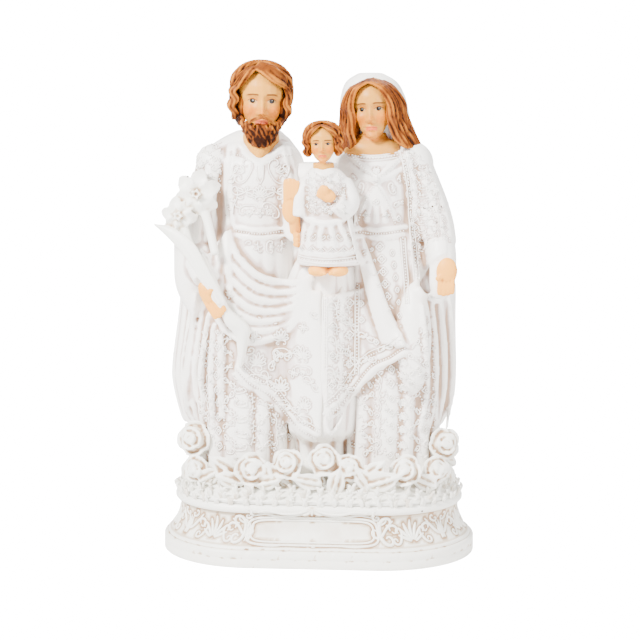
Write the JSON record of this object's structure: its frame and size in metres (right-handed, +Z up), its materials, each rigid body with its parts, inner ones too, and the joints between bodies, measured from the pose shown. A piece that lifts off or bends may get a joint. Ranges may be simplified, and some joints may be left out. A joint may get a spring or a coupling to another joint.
{
  "type": "family figurine",
  "caption": "Cast resin figurine of a bearded man with a lily, a veiled woman and a child, in draped embossed robes on a rose-strewn oval plinth.",
  "frame": {"origin": "middle of the plinth's flat underside", "axes": "+Z up through the figures; the group looks along -Y; +X is to the viewer's right of someone who faces it, on the woman's side"},
  "size_m": [0.0975, 0.0578, 0.1502],
  "materials": {
    "white_resin": "white satin paint over cast resin, with a beige and lilac wash in the recesses",
    "flesh_paint": "ivory and peach flesh paint, slightly waxy, with painted eyes, brows and lips",
    "hair_paint": "auburn brown paint, dark in the creases and dry brushed lighter on the locks"
  },
  "bodies": {
    "root": {"holy_family_figurine": "white_resin"}
  },
  "joints": []
}
